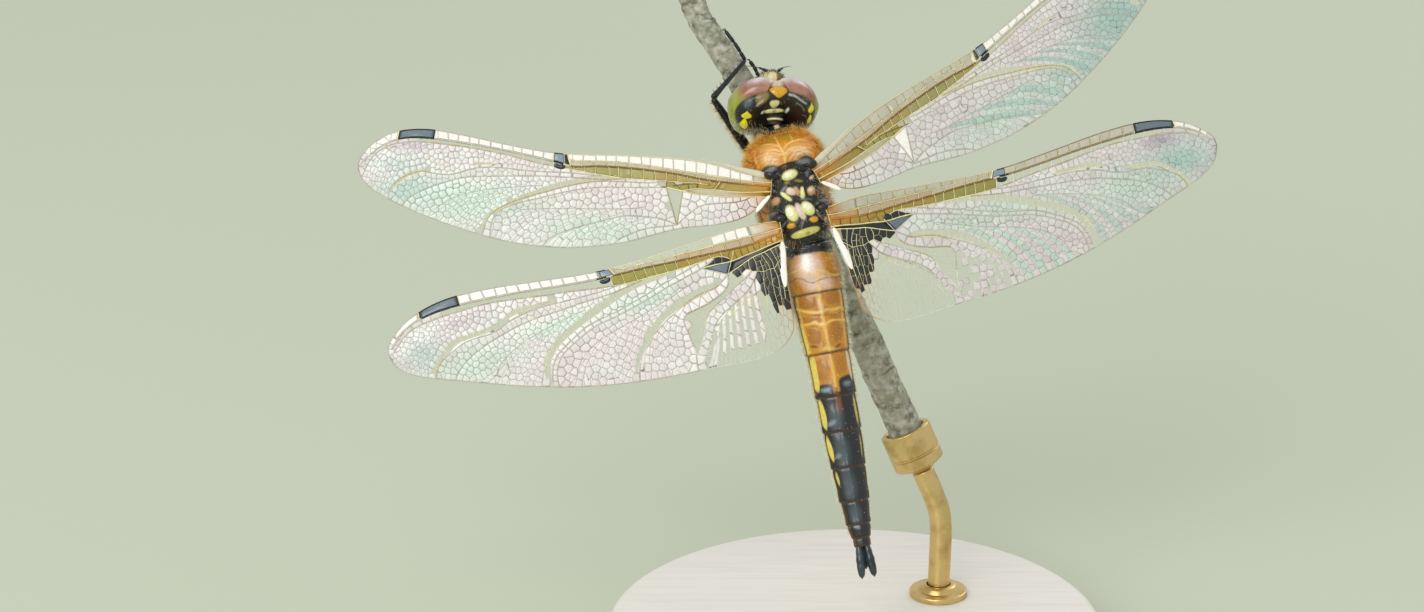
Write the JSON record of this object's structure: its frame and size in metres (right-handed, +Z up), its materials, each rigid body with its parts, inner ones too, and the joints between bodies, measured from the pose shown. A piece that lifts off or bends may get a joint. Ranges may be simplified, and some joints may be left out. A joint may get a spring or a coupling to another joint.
{
  "type": "dragonfly",
  "caption": "Chaser dragonfly with dark-spotted wings held open, gripping a short cut twig on a plain rod and round base; a still, life-size display model.",
  "frame": {"origin": "centre of the underside of the stand's round base", "axes": "+Z up, +X to the insect's right along the spread of its wings, +Y away from its back, towards the twig it grips"},
  "size_m": [0.0746, 0.044, 0.0637],
  "materials": {
    "head_shell": "black chitin with a soft gloss",
    "eyes": "glossy compound eye, brown above and olive at the side",
    "face": "cream chitin, satin",
    "thorax": "golden-brown chitin under fine golden hair",
    "abdomen_front": "amber chitin, satin",
    "abdomen_rear": "blue-black chitin with yellow sides, satin",
    "wings": "clear pearly membrane with amber veins and dark spots",
    "legs": "black chitin, satin",
    "bark": "rough grey-green bark with lichen",
    "stand_white": "wood painted matt off-white",
    "stand_brass": "satin brass"
  },
  "bodies": {
    "root": {"head": "head_shell", "eye_left": "eyes", "eye_right": "eyes", "frons": "face", "labrum": "face", "labium": "face", "antenna_left": "legs", "antenna_right": "legs", "neck": "face", "prothorax": "head_shell", "thorax": "thorax", "wing_fore_left": "wings", "wing_fore_right": "wings", "wing_hind_left": "wings", "wing_hind_right": "wings", "abdomen_1": "abdomen_front", "abdomen_2": "abdomen_front", "abdomen_3": "abdomen_front", "abdomen_4": "abdomen_front", "abdomen_5": "abdomen_front", "abdomen_6": "abdomen_rear", "abdomen_7": "abdomen_rear", "abdomen_8": "abdomen_rear", "abdomen_9": "abdomen_rear", "abdomen_10": "abdomen_rear", "cercus_left": "abdomen_rear", "cercus_right": "abdomen_rear", "epiproct": "abdomen_rear", "leg_fore_left_femur": "legs", "leg_fore_left_tibia": "legs", "leg_fore_left_tarsus": "legs", "leg_fore_right_femur": "legs", "leg_fore_right_tibia": "legs", "leg_fore_right_tarsus": "legs", "leg_mid_left_femur": "legs", "leg_mid_left_tibia": "legs", "leg_mid_left_tarsus": "legs", "leg_mid_right_femur": "legs", "leg_mid_right_tibia": "legs", "leg_mid_right_tarsus": "legs", "leg_hind_left_femur": "legs", "leg_hind_left_tibia": "legs", "leg_hind_left_tarsus": "legs", "leg_hind_right_femur": "legs", "leg_hind_right_tibia": "legs", "leg_hind_right_tarsus": "legs", "perch_twig": "bark", "stand_base": "stand_white", "stand_rod": "stand_brass", "stand_socket": "stand_brass", "stand_flange": "stand_brass"}
  },
  "joints": []
}
